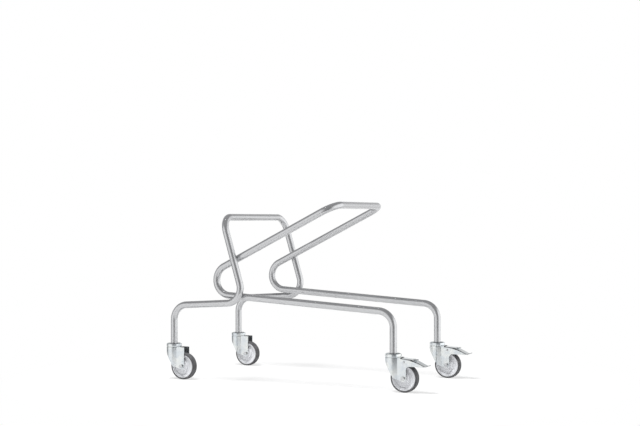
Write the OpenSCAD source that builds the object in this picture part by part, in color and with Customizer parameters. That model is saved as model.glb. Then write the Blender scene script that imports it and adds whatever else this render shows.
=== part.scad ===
// Stacking trolley: two hoops of bent round tube, welded side by side, on four swivel castors.
// The front pair of castors has foot brakes. Millimetres, +Z up, +X towards the braked castors.
// The origin is on the floor, under the middle of the trolley's box.

/* [Frame tube] */
// Outside diameter of the frame tube
tube_diameter = 25; // [22:0.5:28]
// Wall thickness of the frame tube
tube_wall = 2; // [1.5:0.1:3]
// Bend radius at the centre line of the tube
bend_radius = 55; // [45:1:65]
// Gap between the two hoops, which the welds fill
weld_gap = 0.4; // [0.2:0.1:1]
// Diameter of a weld bead
weld_diameter = 13; // [8:1:18]

/* [Frame layout] */
// Distance between the rear legs and the front legs
wheelbase = 850; // [800:5:950]
// Distance between the two rear legs
rear_track = 476; // [420:2:560]
// Height of the lower runs above the floor, where they meet their legs
run_height = 267; // [251:2:301]
// Rise of the lower runs away from their legs, in degrees
run_rise = 3.6; // [1:0.1:6]
// Distance from the rear legs to the foot of the uprights
upright_foot = 292.5; // [270:2.5:320]
// Lean of the uprights towards the rear, in degrees
upright_lean = 16.7; // [10:0.1:20]
// Height of the back bar above the floor
back_bar_height = 587; // [541:2:641]
// Distance from the rear legs to the centre of the loops
loop_place = 219; // [200:1:235]
// Slope of the seat rails, in degrees
rail_slope = 26.6; // [22:0.1:30]
// Distance from the rear legs to the seat bar
seat_bar_place = 630.5; // [560:2.5:700]

/* [Wheel] */
// Diameter of the wheel over its tyre
wheel_diameter = 97; // [90:1:105]
// Width of the tyre
tyre_width = 27; // [24:0.5:32]
// Thickness of the tyre at the middle of its tread
tyre_thickness = 6.5; // [6:0.5:12]
// Radius of the tread's crown across the tyre
tread_crown = 60; // [40:1:90]
// Radius of the tyre's rounded shoulders
tread_shoulder = 4; // [2:0.5:5]
// Diameter of the axle bolt
axle_diameter = 8; // [6:1:10]
// Wall of the axle sleeve, on which the hub turns
sleeve_wall = 2; // [1.5:0.5:3]
// Wall of the hub's boss round the sleeve
boss_wall = 6; // [4:0.5:8]
// Width of the hub's rim lip, beside the tyre
lip_width = 5; // [3:0.5:6]
// Width of the ledge inside the rim lip
ledge_width = 3; // [2:0.5:6]
// Depth of the ledge below the tyre's side
ledge_depth = 3; // [2:0.5:4]
// Width of the recess between the ledge and the hub's flat middle disc
recess_width = 9; // [5:0.5:10]
// Depth of the recess below the tyre's side
recess_depth = 6; // [5:0.5:8]

/* [Swivel fork] */
// Distance from the swivel axis back to the axle
trail = 42; // [36:1:48]
// Diameter of the fork's round crown
head_diameter = 56; // [51:1:62]
// Thickness of the fork's sheet steel
sheet = 2.5; // [2:0.1:3]
// Room between the tyre's side and the fork
tyre_side_gap = 3.5; // [2.5:0.5:5]
// Room between the tyre's top and the king bolt's head
tyre_top_gap = 9; // [5:0.5:12]
// Radius of the fork's ends round the axle
boss_radius = 11; // [9:0.5:13]
// Distance behind the swivel axis at which the fork's leading edge turns
lead_corner = 9; // [4:0.5:14]
// Height of the crown's rolled rim
rim_height = 12; // [10:0.5:16]
// Thickness of the rolled rim
rim_thickness = 4.5; // [3.5:0.1:5]
// Height of the groove under the rolled rim
rim_groove = 1.5; // [1:0.1:2.5]

/* [Swivel bearing] */
// Diameter of the king bolt
king_diameter = 10; // [8:1:12]
// Diameter of the bearing balls
ball_diameter = 6; // [5:0.5:7]
// Thickness of the top cup
cup_thickness = 2.5; // [2:0.1:4]
// Length of the expander sleeve inside the tube
expander_length = 32; // [24:1:40]

/* [Foot brake] */
// Distance from the swivel axis to the tip of the pedal
pedal_reach = 130; // [124:1:138]
// Thickness of the pedal's sheet steel
pedal_sheet = 2.5; // [2:0.1:3]
// Bend radius of the pedal at the middle of its sheet
pedal_bend = 6; // [4:0.5:8]
// Length of the pedal's slanted tread, along X
tread_length = 46; // [40:1:50]
// Drop of the pedal's slanted tread
tread_drop = 22; // [16:1:24]
// Length of the pedal's upturned lip, along X
lip_length = 11; // [8:1:16]
// Rise of the pedal's upturned lip
lip_rise = 4; // [2:0.5:6]
// Length of the release tab, along X
tab_length = 15; // [10:1:20]
// Rise of the release tab over its length
tab_rise = 2.5; // [1:0.5:6]
// Width of the release tab
tab_width = 15; // [10:1:20]
// Diameter of the pivot rivet
pivot_diameter = 6; // [5:0.5:7]
// Distance of the pivot rivet behind the axle
pivot_behind_axle = 4; // [2:0.5:8]
// Distance from the swivel axis to the tip of the fork's wings
wing_reach = 116; // [110:1:120]
// Height of the wings' lower edge above the axle
wing_rise = 40.5; // [36:0.5:42]
// Radius of the wings' curved upper edge
wing_radius = 200; // [150:5:260]
// Fillet between the wings and the fork's trailing edge
wing_fillet = 12; // [6:1:14]
// Length of the brake shoe
shoe_length = 14; // [10:0.5:14.5]
// Gap between the shoe and the tyre while the brake is off
shoe_gap = 6; // [5.5:0.1:7]

/* [Hidden] */
$fn = 64;

// Clearances
running_fit = 0.05;
swivel_gap = 0.3;
rim_gap = 0.6;
hub_side_gap = 0.5;
lip_recess = 1;
hub_draft = 1.5;
shoulder_lap = 0.1;
pedal_side_gap = 0.5;
heel_gap = 8;
ball_spacing = 1.22;
shoe_side_gap = 1;

// Margins of the foot brake
pivot_over_tyre = 3;
ear_margin = 4;
wing_setback = 5;
wing_tip_height = 2;
shoe_setback = 4;
tab_setback = 3;

// A bar or sheet loses this much on each face where it is bent
bend_thinning = 0.1;

// Fastener proportions: hexagon across flats and height, as shares of the thread's diameter
hex_flats = 1.65;
hex_height = 0.65;
nut_height = 0.8;
washer_thickness = 2;
washer_diameter = 2.2 * king_diameter;
rivet_head = 1.2;
rivet_head_diameter = 1.35 * pivot_diameter;
thread_end = 2;

// Castor heights, from the floor up
axle_z = wheel_diameter / 2;
king_head_z = wheel_diameter + tyre_top_gap;
washer_z = king_head_z + hex_height * king_diameter;
crown_z = washer_z + washer_thickness + swivel_gap;
crown_top = crown_z + sheet;
ball_z = crown_top + running_fit + ball_diameter / 2;
groove_depth = 0.15 * ball_diameter;
cup_z = ball_z + ball_diameter / 2 - groove_depth;
tube_end = cup_z + cup_thickness;
stem_nut_z = tube_end + expander_length;

// Castor radii and widths
head_radius = head_diameter / 2;
wall_radius = head_radius - sheet;
rim_radius = head_radius - rim_thickness;
rim_middle = head_radius - rim_thickness / 2;
cup_radius = rim_radius - rim_gap;
ball_pitch = (cup_radius + king_diameter / 2 + running_fit) / 2 + ball_diameter / 3;
ball_count = floor(360 / (2 * asin(ball_spacing * ball_diameter / 2 / ball_pitch)));
fork_gap = tyre_width + 2 * tyre_side_gap;
fork_width = fork_gap + 2 * sheet;
fork_end = trail + boss_radius;
hub_length = fork_gap - 2 * hub_side_gap;
sleeve_diameter = axle_diameter + 2 * (sleeve_wall + running_fit);
hub_radius = wheel_diameter / 2 - tyre_thickness;

// Foot brake, in castor coordinates along X and Z
pivot = [trail + pivot_behind_axle, wheel_diameter + pivot_over_tyre + pivot_diameter / 2];
pedal_width = fork_gap - 2 * pedal_side_gap;
knee = [pedal_reach - lip_length - tread_length, crown_z - pedal_sheet];
heel = [head_radius + heel_gap, crown_z];
toe = [knee.x + tread_length, knee.y - tread_drop];
tip = [pedal_reach, toe.y + lip_rise];
ear_radius = pivot_diameter / 2 + ear_margin;
ear_y = (pedal_width - pedal_sheet) / 2 - bend_thinning;
wing_z = axle_z + wing_rise;
wing_top = [head_radius + wing_setback, crown_z - sheet / 2];
wing_tip = [wing_reach, wing_z + wing_tip_height];
heel_slope = atan2(knee.y - heel.y, knee.x - heel.x);
function under_pedal(x) = heel.y + (x - heel.x) * tan(heel_slope) - pedal_sheet / 2 / cos(heel_slope);
shoe_start = pivot.x + ear_radius + shoe_setback;
shoe_end = shoe_start + shoe_length;

// Frame places along X: the trolley is centred in its box
rear_leg = (head_radius - wheelbase - pedal_reach) / 2;
front_leg = rear_leg + wheelbase;
front_track = rear_track - 2 * (tube_diameter + weld_gap);

// Frame side view, as points along X and Z
upright_corner = [rear_leg + upright_foot, run_height + upright_foot * tan(run_rise)];
back_bar = [upright_corner.x - (back_bar_height - upright_corner.y) * tan(upright_lean), back_bar_height];
function front_run_z(x) = run_height + (front_leg - x) * tan(run_rise);
loop_x = rear_leg + loop_place;
loop_centre = [loop_x, front_run_z(loop_x) + bend_radius / cos(run_rise)];
rail_start = loop_centre + bend_radius * [-sin(rail_slope), cos(rail_slope)];
function rail_z(x) = rail_start.y + (x - rail_start.x) * tan(rail_slope);
loop_corner_x = loop_x - (rail_z(loop_x) - front_run_z(loop_x)) / (tan(rail_slope) + tan(run_rise));
loop_corner = [loop_corner_x, front_run_z(loop_corner_x)];
seat_bar_x = rear_leg + seat_bar_place;
seat_bar = [seat_bar_x, rail_z(seat_bar_x)];

// A hoop's path: up one side, across at the bar and down the other side
function on_side(point, y) = [point.x, y, point.y];
function hoop_path(side_points, track) = concat(
    [for (point = side_points) on_side(point, -track / 2)],
    [for (i = [len(side_points) - 1 : -1 : 0]) on_side(side_points[i], track / 2)]
);
rear_side = [[rear_leg, tube_end], [rear_leg, run_height], upright_corner, back_bar];
front_side = [[front_leg, tube_end], [front_leg, run_height], loop_corner, seat_bar];

// Where the hoops cross in side view: the upright over the rail, and the rear bend over the front run
upright_way = [-sin(upright_lean), cos(upright_lean)];
rear_run_way = [cos(run_rise), sin(run_rise)];
rail_crossing_z = (rail_z(upright_corner.x) + upright_corner.y * tan(upright_lean) * tan(rail_slope))
    / (1 + tan(upright_lean) * tan(rail_slope));
rail_crossing = [
    upright_corner.x - (rail_crossing_z - upright_corner.y) * tan(upright_lean),
    rail_crossing_z
];
rear_bend_setback = bend_radius * tan((90 + upright_lean - run_rise) / 2);
rear_bend_centre = upright_corner - rear_bend_setback * rear_run_way
    + bend_radius * [-rear_run_way.y, rear_run_way.x];
run_below_centre = (rear_bend_centre.y - front_run_z(rear_bend_centre.x)) * cos(run_rise);
run_crossing = rear_bend_centre + run_below_centre * [-sin(run_rise), -cos(run_rise)]
    + sqrt(bend_radius ^ 2 - run_below_centre ^ 2) * [cos(run_rise), -sin(run_rise)];

// Corners: name, place of the leg and whether the castor has a brake
CORNERS = [
    ["rear_left", [rear_leg, rear_track / 2], false],
    ["rear_right", [rear_leg, -rear_track / 2], false],
    ["front_left", [front_leg, front_track / 2], true],
    ["front_right", [front_leg, -front_track / 2], true]
];
FRAME_PIECES = ["rear_hoop", "front_hoop", "weld_beads"];
CASTOR_PIECES = [
    "expander", "king_bolt", "stem_nut", "top_cup", "bearing_balls", "fork",
    "axle_bolt", "axle_nut", "axle_sleeve", "wheel_hub", "tyre"
];
BRAKE_PIECES = ["brake_pedal", "brake_pivot", "brake_shoe"];
NODES = concat(
    FRAME_PIECES,
    [for (corner = CORNERS) for (piece = CASTOR_PIECES) str(corner[0], "_", piece)],
    [for (corner = CORNERS) if (corner[2]) for (piece = BRAKE_PIECES) str(corner[0], "_", piece)]
);
node = "all";
function shown(name) = node == "all" || node == name;

// Bent bars: a section swept along straight stretches and arcs of one radius.
// The section loses $thinning on each face, and the straight stretches lap into the thinner bends.

function unit(v) = v / norm(v);
function heading(path, i) = unit(path[i + 1] - path[i]);
function turn(path, i) = acos(heading(path, i - 1) * heading(path, i));
function lap(radius) = sqrt(radius * bend_thinning / 2);
function setback(path, i, radius) =
    i == 0 || i == len(path) - 1 ? 0 : radius * tan(turn(path, i) / 2) - lap(radius);

// Puts children at a point, with their X and Z axes along two unit vectors
module place(point, x_axis, z_axis) {
    y_axis = cross(z_axis, x_axis);
    multmatrix([
        [x_axis.x, y_axis.x, z_axis.x, point.x],
        [x_axis.y, y_axis.y, z_axis.y, point.y],
        [x_axis.z, y_axis.z, z_axis.z, point.z]
    ]) children();
}

module straight(from, to) {
    way = unit(to - from);
    across = abs(way.y) > 0.9 ? [1, 0, 0] : [0, 1, 0];
    $thinning = 0;
    place(from, cross(across, way), way)
        linear_extrude(height = norm(to - from)) children();
}

module bend(corner, way_in, way_out, radius) {
    angle = acos(way_in * way_out);
    inward = unit(way_out - way_in * (way_in * way_out));
    centre = corner - way_in * radius * tan(angle / 2) + inward * radius;
    $thinning = bend_thinning;
    place(centre, -inward, cross(way_in, inward))
        rotate_extrude(angle = angle) translate([radius, 0]) children();
}

module bent(path, radius) {
    last = len(path) - 1;
    for (i = [0 : last - 1])
        straight(
            path[i] + heading(path, i) * setback(path, i, radius),
            path[i + 1] - heading(path, i) * setback(path, i + 1, radius)
        ) children();
    for (i = [1 : last - 1])
        bend(path[i], heading(path, i - 1), heading(path, i), radius) children();
}

module bar_section() {
    circle(d = tube_diameter - 2 * $thinning);
}

module tube_section() {
    difference() {
        bar_section();
        circle(d = tube_diameter - 2 * (tube_wall - $thinning));
    }
}

module strip_section(thickness, width) {
    square([thickness - 2 * $thinning, width - 2 * $thinning], center = true);
}

// Extrudes an outline drawn along X and Z evenly to both sides of the XZ plane
module across(width) {
    rotate([90, 0, 0]) linear_extrude(height = width, center = true) children();
}

// A cylinder along Y, from one Y to another
module cross_bar(point, diameter, from, to) {
    translate([point.x, to, point.y]) rotate([90, 0, 0]) cylinder(d = diameter, h = to - from);
}

// A hexagon along Y, from one Y to another
module cross_hexagon(point, flats, from, to) {
    translate([point.x, to, point.y]) rotate([90, 0, 0])
        cylinder(d = flats / cos(30), h = to - from, $fn = 6);
}

// Frame

module rear_hoop() {
    color("silver") bent(hoop_path(rear_side, rear_track), bend_radius) tube_section();
}

module front_hoop() {
    color("silver") bent(hoop_path(front_side, front_track), bend_radius) tube_section();
}

// The tubes that a weld lies between, as solid bars near their crossings
module rear_bars() {
    y = rear_track / 2;
    straight(on_side(upright_corner, y), on_side(back_bar, y)) bar_section();
    bend(
        on_side(upright_corner, y), on_side(rear_run_way, 0), on_side(upright_way, 0), bend_radius
    ) bar_section();
}

module front_bars() {
    y = front_track / 2;
    straight(on_side(loop_corner, y), on_side(seat_bar, y)) bar_section();
    straight(on_side(loop_corner, y), on_side([front_leg, run_height], y)) bar_section();
}

module weld_bead(crossing) {
    difference() {
        cross_bar(crossing, weld_diameter, front_track / 2, rear_track / 2);
        rear_bars($fn = 240);
        front_bars($fn = 240);
    }
}

module weld_beads() {
    color("silver") for (side = [0, 1]) mirror([0, side, 0])
        for (crossing = [rail_crossing, run_crossing]) weld_bead(crossing);
}

// Castor pieces, drawn with the swivel axis on Z and the wheel trailing towards +X

module expander() {
    color("dimgray") translate([0, 0, tube_end]) difference() {
        cylinder(d = tube_diameter - 2 * tube_wall, h = expander_length);
        translate([0, 0, -1]) cylinder(d = king_diameter + 2 * running_fit, h = expander_length + 2);
    }
}

module king_bolt() {
    length = stem_nut_z + nut_height * king_diameter + thread_end - washer_z;
    color("gainsboro") {
        translate([0, 0, king_head_z])
            cylinder(d = hex_flats * king_diameter / cos(30), h = washer_z - king_head_z, $fn = 6);
        translate([0, 0, washer_z]) cylinder(d = washer_diameter, h = washer_thickness);
        translate([0, 0, washer_z]) cylinder(d = king_diameter, h = length);
    }
}

module stem_nut() {
    height = nut_height * king_diameter;
    color("gainsboro") translate([0, 0, stem_nut_z]) difference() {
        cylinder(d = hex_flats * king_diameter / cos(30), h = height, $fn = 6);
        translate([0, 0, -1]) cylinder(d = king_diameter + 2 * running_fit, h = height + 2);
    }
}

module top_cup() {
    color("gainsboro") difference() {
        translate([0, 0, cup_z]) cylinder(r = cup_radius, h = cup_thickness);
        translate([0, 0, cup_z - 1]) cylinder(d = king_diameter + 2 * running_fit, h = cup_thickness + 2);
        translate([0, 0, ball_z]) rotate_extrude()
            translate([ball_pitch, 0]) circle(d = ball_diameter);
    }
}

module bearing_balls() {
    color("gainsboro") for (i = [0 : ball_count - 1])
        rotate([0, 0, 360 * i / ball_count])
            translate([ball_pitch, 0, ball_z]) sphere(d = ball_diameter);
}

// The pressed wall seen from above: round in front, with two flat cheeks behind
module fork_plan() {
    difference() {
        union() {
            circle(r = head_radius);
            translate([0, -fork_width / 2]) square([wing_reach, fork_width]);
        }
        circle(r = wall_radius);
        translate([0, -fork_gap / 2]) square([wing_reach + 1, fork_gap]);
    }
}

// A cheek seen from the side: the leading edge slants from the crown to the axle,
// and under a wing the top ends at the wing's start
module cheek_outline(braked) {
    boss_angle = asin(boss_radius / (trail - lead_corner));
    top_end = braked ? [[fork_end, pivot.y], [wing_top.x, pivot.y], [wing_top.x, crown_top]]
        : [[fork_end, crown_top]];
    polygon(concat([
        [-head_radius, crown_top],
        [-head_radius, crown_z],
        [lead_corner, axle_z],
        [trail - boss_radius * sin(boss_angle), axle_z - boss_radius * cos(boss_angle)],
        [trail, axle_z],
        [fork_end, axle_z]
    ], top_end));
    translate([trail, axle_z]) circle(r = boss_radius);
}

// The wing that carries the foot brake, between its curved upper edge and a straight lower edge
module wing_outline() {
    chord = wing_tip - wing_top;
    sagitta_side = sqrt(wing_radius ^ 2 - (norm(chord) / 2) ^ 2);
    centre = (wing_top + wing_tip) / 2 + sagitta_side * unit([chord.y, -chord.x]);
    intersection() {
        translate([wing_top.x, wing_z]) square([wing_reach - wing_top.x, crown_top - wing_z]);
        translate(centre) circle(r = wing_radius, $fn = 128);
    }
    translate([fork_end, wing_z - wing_fillet]) difference() {
        translate([-1, 0]) square([wing_fillet + 1, wing_fillet + 1]);
        translate([wing_fillet, 0]) circle(r = wing_fillet);
    }
}

// The crown is a round plate with a rolled rim, which stands on a narrower neck
module crown() {
    bore = king_diameter / 2 + running_fit;
    rim_low = crown_top + rim_groove + rim_thickness / 2;
    rim_high = crown_top + rim_height - rim_thickness / 2;
    rotate_extrude() {
        translate([bore, crown_z]) square([head_radius - bore, sheet]);
        translate([rim_middle - sheet / 2, crown_z]) square([sheet, rim_height]);
        translate([rim_radius, rim_low]) square([rim_thickness, rim_high - rim_low]);
        for (z = [rim_low, rim_high]) translate([rim_middle, z]) circle(d = rim_thickness);
    }
}

module fork(braked) {
    color("whitesmoke") difference() {
        union() {
            intersection() {
                linear_extrude(height = crown_top) fork_plan();
                across(head_diameter) {
                    cheek_outline(braked);
                    if (braked) wing_outline();
                }
            }
            crown();
        }
        cross_bar([trail, axle_z], axle_diameter + 2 * running_fit, -head_radius, head_radius);
        if (braked)
            cross_bar(pivot, pivot_diameter + 2 * running_fit, -head_radius, head_radius);
    }
}

module axle_bolt() {
    side = fork_width / 2;
    axle = [trail, axle_z];
    color("gainsboro") {
        cross_bar(axle, axle_diameter, -side, side + nut_height * axle_diameter + thread_end);
        cross_hexagon(axle, hex_flats * axle_diameter, -side - hex_height * axle_diameter, -side);
    }
}

module axle_nut() {
    side = fork_width / 2;
    axle = [trail, axle_z];
    color("gainsboro") difference() {
        cross_hexagon(axle, hex_flats * axle_diameter, side, side + nut_height * axle_diameter);
        cross_bar(axle, axle_diameter + 2 * running_fit, side - 1, side + nut_height * axle_diameter + 1);
    }
}

module axle_sleeve() {
    axle = [trail, axle_z];
    color("gainsboro") difference() {
        cross_bar(axle, sleeve_diameter, -fork_gap / 2, fork_gap / 2);
        cross_bar(axle, axle_diameter + 2 * running_fit, -fork_gap, fork_gap);
    }
}

// Turns a half section, drawn as radius and distance along the axle, round the axle
module wheel_turned() {
    translate([trail, 0, axle_z]) rotate([90, 0, 0]) rotate_extrude() children();
}

module wheel_hub() {
    bore = sleeve_diameter / 2 + running_fit;
    boss = bore + boss_wall;
    lip = hub_radius - lip_width;
    ledge = lip - hub_draft - ledge_width;
    disc = ledge - recess_width - 2 * hub_draft;
    side = tyre_width / 2;
    half = [
        [bore, hub_length / 2],
        [boss - hub_draft, hub_length / 2],
        [boss, hub_length / 2 - hub_draft],
        [boss + hub_draft, side - lip_recess],
        [disc, side - lip_recess],
        [disc + hub_draft, side - recess_depth],
        [ledge - hub_draft, side - recess_depth],
        [ledge, side - ledge_depth],
        [lip - hub_draft, side - ledge_depth],
        [lip, side - lip_recess],
        [hub_radius, side - lip_recess]
    ];
    outline = concat(half, [for (i = [len(half) - 1 : -1 : 0]) [half[i].x, -half[i].y]]);
    color("lightsteelblue") wheel_turned() polygon(outline);
}

// The tread's crown runs into round shoulders, which lap a little over it
module tyre() {
    crown_middle = wheel_diameter / 2 - tread_crown;
    shoulder_y = tyre_width / 2 - tread_shoulder;
    shoulder_r = crown_middle + sqrt((tread_crown - tread_shoulder) ^ 2 - shoulder_y ^ 2) + shoulder_lap;
    color("dimgray") wheel_turned() intersection() {
        translate([crown_middle, 0]) circle(r = tread_crown);
        translate([hub_radius, -tyre_width / 2]) square([tyre_thickness, tyre_width]);
        union() {
            translate([hub_radius, -shoulder_y]) square([tyre_thickness, 2 * shoulder_y]);
            translate([hub_radius, -tyre_width / 2]) square([shoulder_r - hub_radius, tyre_width]);
            for (side = [-1, 1]) translate([shoulder_r, side * shoulder_y]) circle(r = tread_shoulder);
        }
    }
}

// Foot brake pieces

module brake_pedal() {
    color("whitesmoke") difference() {
        union() {
            bent([for (point = [heel, knee, toe, tip]) on_side(point, 0)], pedal_bend)
                strip_section(pedal_sheet, pedal_width);
            release_tab();
            for (side = [-1, 1])
                translate([0, side * ear_y, 0]) across(pedal_sheet) pedal_ear();
        }
        cross_bar(pivot, pivot_diameter + 2 * running_fit, -fork_width, fork_width);
    }
}

// The tab that lifts the pedal again, a tongue raised out of the slanted tread
module release_tab() {
    root = knee + tab_setback * [1, -tread_drop / tread_length];
    end = root + [tab_length, tab_rise];
    straight(on_side(root, 0), on_side(end, 0)) strip_section(pedal_sheet, tab_width);
}

// An ear hangs from the pedal's side and holds the pivot
module pedal_ear() {
    translate(pivot) circle(r = ear_radius);
    polygon([
        pivot + [-ear_radius, 0],
        pivot + [ear_radius, 0],
        knee,
        heel + pedal_sheet * unit(knee - heel)
    ]);
}

module brake_pivot() {
    side = fork_width / 2;
    color("gainsboro") {
        cross_bar(pivot, pivot_diameter, -side - rivet_head, side + rivet_head);
        for (end = [[-side - rivet_head, -side], [side, side + rivet_head]])
            cross_bar(pivot, rivet_head_diameter, end[0], end[1]);
    }
}

// The shoe hangs under the pedal, hollowed to the tyre's curve
module brake_shoe() {
    color("dimgray") across(tyre_width - 2 * shoe_side_gap) difference() {
        polygon([
            [shoe_start, axle_z],
            [shoe_end, axle_z],
            [shoe_end, under_pedal(shoe_end)],
            [shoe_start, under_pedal(shoe_start)]
        ]);
        translate([trail, axle_z]) circle(r = wheel_diameter / 2 + shoe_gap, $fn = 128);
    }
}

// The assembly

if (shown("rear_hoop")) rear_hoop();
if (shown("front_hoop")) front_hoop();
if (shown("weld_beads")) weld_beads();

for (corner = CORNERS) translate(corner[1]) {
    name = corner[0];
    if (shown(str(name, "_expander"))) expander();
    if (shown(str(name, "_king_bolt"))) king_bolt();
    if (shown(str(name, "_stem_nut"))) stem_nut();
    if (shown(str(name, "_top_cup"))) top_cup();
    if (shown(str(name, "_bearing_balls"))) bearing_balls();
    if (shown(str(name, "_fork"))) fork(corner[2]);
    if (shown(str(name, "_axle_bolt"))) axle_bolt();
    if (shown(str(name, "_axle_nut"))) axle_nut();
    if (shown(str(name, "_axle_sleeve"))) axle_sleeve();
    if (shown(str(name, "_wheel_hub"))) wheel_hub();
    if (shown(str(name, "_tyre"))) tyre();
    if (corner[2]) {
        if (shown(str(name, "_brake_pedal"))) brake_pedal();
        if (shown(str(name, "_brake_pivot"))) brake_pivot();
        if (shown(str(name, "_brake_shoe"))) brake_shoe();
    }
}
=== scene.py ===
"""Looks of the stacking trolley: two welded hoops of bent tube on four swivel castors.

Metres, +Z up, +X towards the braked castors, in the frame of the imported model. Every piece is
modelled in castor coordinates or in the trolley's own, and its place is in its mesh.
"""

import logging
import math
from dataclasses import dataclass, field
from enum import Enum
from functools import reduce
from typing import Callable, ClassVar, Iterable, Mapping, Optional, Sequence, Union

import bmesh
import bpy
from mathutils import Matrix, Vector
from mathutils.geometry import intersect_line_line_2d, intersect_line_sphere_2d


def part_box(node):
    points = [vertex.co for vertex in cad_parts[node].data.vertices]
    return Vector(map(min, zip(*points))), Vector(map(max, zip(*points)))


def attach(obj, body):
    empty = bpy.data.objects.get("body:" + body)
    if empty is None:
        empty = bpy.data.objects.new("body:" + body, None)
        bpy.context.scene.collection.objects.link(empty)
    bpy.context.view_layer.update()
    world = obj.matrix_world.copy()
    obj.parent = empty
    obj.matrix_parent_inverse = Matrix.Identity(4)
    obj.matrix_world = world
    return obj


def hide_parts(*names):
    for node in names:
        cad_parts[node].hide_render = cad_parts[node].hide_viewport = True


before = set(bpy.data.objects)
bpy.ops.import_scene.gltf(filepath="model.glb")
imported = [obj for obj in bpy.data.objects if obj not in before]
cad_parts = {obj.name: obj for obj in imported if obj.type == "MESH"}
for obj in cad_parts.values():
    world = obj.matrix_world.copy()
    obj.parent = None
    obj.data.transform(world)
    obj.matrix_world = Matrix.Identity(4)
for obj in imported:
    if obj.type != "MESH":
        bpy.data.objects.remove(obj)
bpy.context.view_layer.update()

LOG = logging.getLogger("trolley")
MM = 0.001
SLACK = 0.01 * MM
HALF_TURN = math.pi
QUARTER_TURN = math.pi / 2
FULL_TURN = 2 * math.pi
ALONG_COSINE = 0.5
UP = Vector((0, 0, 1))
ALONG = Vector((1, 0, 0))
ACROSS = Vector((0, 1, 0))
WHITE = (1, 1, 1, 1)
Colour = tuple[float, float, float, float]
Direction = tuple[float, float, float]
Levels = tuple[float, float]
Point2 = tuple[float, float]


class Corner(Enum):
    """The trolley's corners, by the names of their nodes."""

    REAR_LEFT = "rear_left"
    REAR_RIGHT = "rear_right"
    FRONT_LEFT = "front_left"
    FRONT_RIGHT = "front_right"

    @property
    def braked(self) -> bool:
        """Whether the castor at this corner has a foot brake."""
        return self in (Corner.FRONT_LEFT, Corner.FRONT_RIGHT)

    def node(self, piece: str) -> str:
        """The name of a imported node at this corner."""
        return f"{self.value}_{piece}"


def middle_of(node: str) -> Vector:
    """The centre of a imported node's box."""
    low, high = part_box(node)
    return (low + high) / 2


def span_of(node: str) -> Vector:
    """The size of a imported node's box."""
    low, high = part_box(node)
    return high - low


def runs_along(way: Vector, axis: Vector) -> bool:
    """Whether a direction runs along an axis rather than across it."""
    return abs(way.dot(axis)) >= ALONG_COSINE


def is_upright(face: bmesh.types.BMFace) -> bool:
    """Whether a face stands up, so that its normal is level."""
    return not runs_along(face.normal, UP)


def arc(middle: Point2, radius: float, start: float, end: float, steps: int) -> list[Point2]:
    """Works out points along an arc.

    Args:
        middle: the arc's middle.
        radius: its radius.
        start: the first point's bearing.
        end: the last point's bearing.
        steps: the number of steps between them.

    Returns:
        The points, with both ends.
    """
    x, y = middle
    shares = [step / steps for step in range(steps + 1)]
    bearings = [start * (1 - share) + end * share for share in shares]
    return [(x + radius * math.cos(bearing), y + radius * math.sin(bearing)) for bearing in bearings]


# Shader maths


class Value:
    """An output socket whose arithmetic adds Math nodes to its tree."""

    def __init__(self, graph: "Graph", socket: Optional[bpy.types.NodeSocket]) -> None:
        """Keeps the graph and the socket."""
        self.graph = graph
        self.socket = socket

    def _math(self, operation: str, first: "Feed", second: "Feed") -> "Value":
        """Adds a Math node on two feeds."""
        return self.graph.add("ShaderNodeMath", {"operation": operation}, {0: first, 1: second})

    def __add__(self, other: "Feed") -> "Value":
        """Sum."""
        return self._math("ADD", self, other)

    def __radd__(self, other: "Feed") -> "Value":
        """Sum, from the right."""
        return self._math("ADD", other, self)

    def __rsub__(self, other: "Feed") -> "Value":
        """Difference, from the right."""
        return self._math("SUBTRACT", other, self)

    def __mul__(self, other: "Feed") -> "Value":
        """Product."""
        return self._math("MULTIPLY", self, other)

    def __rmul__(self, other: "Feed") -> "Value":
        """Product, from the right."""
        return self._math("MULTIPLY", other, self)

    def larger(self, other: "Feed") -> "Value":
        """The larger of two values."""
        return self._math("MAXIMUM", self, other)

    def output(self, name: str) -> "Value":
        """Another output of the same node."""
        return Value(self.graph, self.socket.node.outputs[name])


Feed = Union[Value, float, Sequence[float]]


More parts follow.
